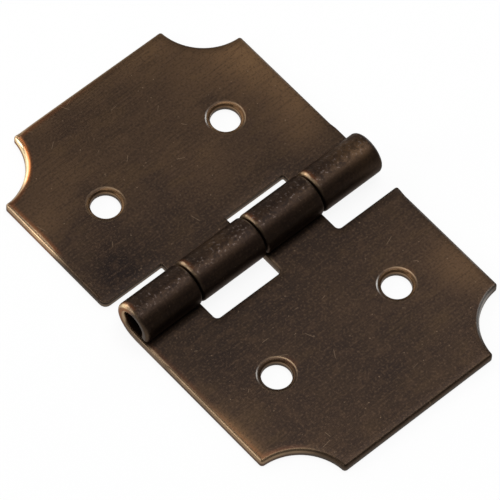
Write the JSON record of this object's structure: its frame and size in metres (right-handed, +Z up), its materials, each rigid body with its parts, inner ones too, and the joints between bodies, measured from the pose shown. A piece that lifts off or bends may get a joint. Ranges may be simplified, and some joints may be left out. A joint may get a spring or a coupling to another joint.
{
  "type": "decorative hinge",
  "caption": "Small decorative butt hinge with hollowed outer corners, interleaved rolled knuckles on a hidden pin and countersunk screw holes in each leaf.",
  "frame": {"origin": "under the middle of the pin, on the plane of the leaves' backs", "axes": "+X along the pin, +Y from the pin across the rear leaf, +Z up out of the backs towards the show faces"},
  "size_m": [0.025, 0.04, 0.0038],
  "materials": {
    "front_leaf": "antique bronze plating, brushed and worn at the edges",
    "rear_leaf": "antique bronze plating, brushed and worn at the edges",
    "hinge_pin": "darkened drawn wire"
  },
  "bodies": {
    "front_leaf": {"front_leaf": "front_leaf", "hinge_pin": "hinge_pin"},
    "rear_leaf": {"rear_leaf": "rear_leaf"}
  },
  "joints": [
    {"name": "leaf_swing", "type": "hinge", "parent": "front_leaf", "child": "rear_leaf", "pos_m": [0, 0, 0.00188], "axis": [1, 0, 0], "range_deg": [-115, 185]}
  ]
}
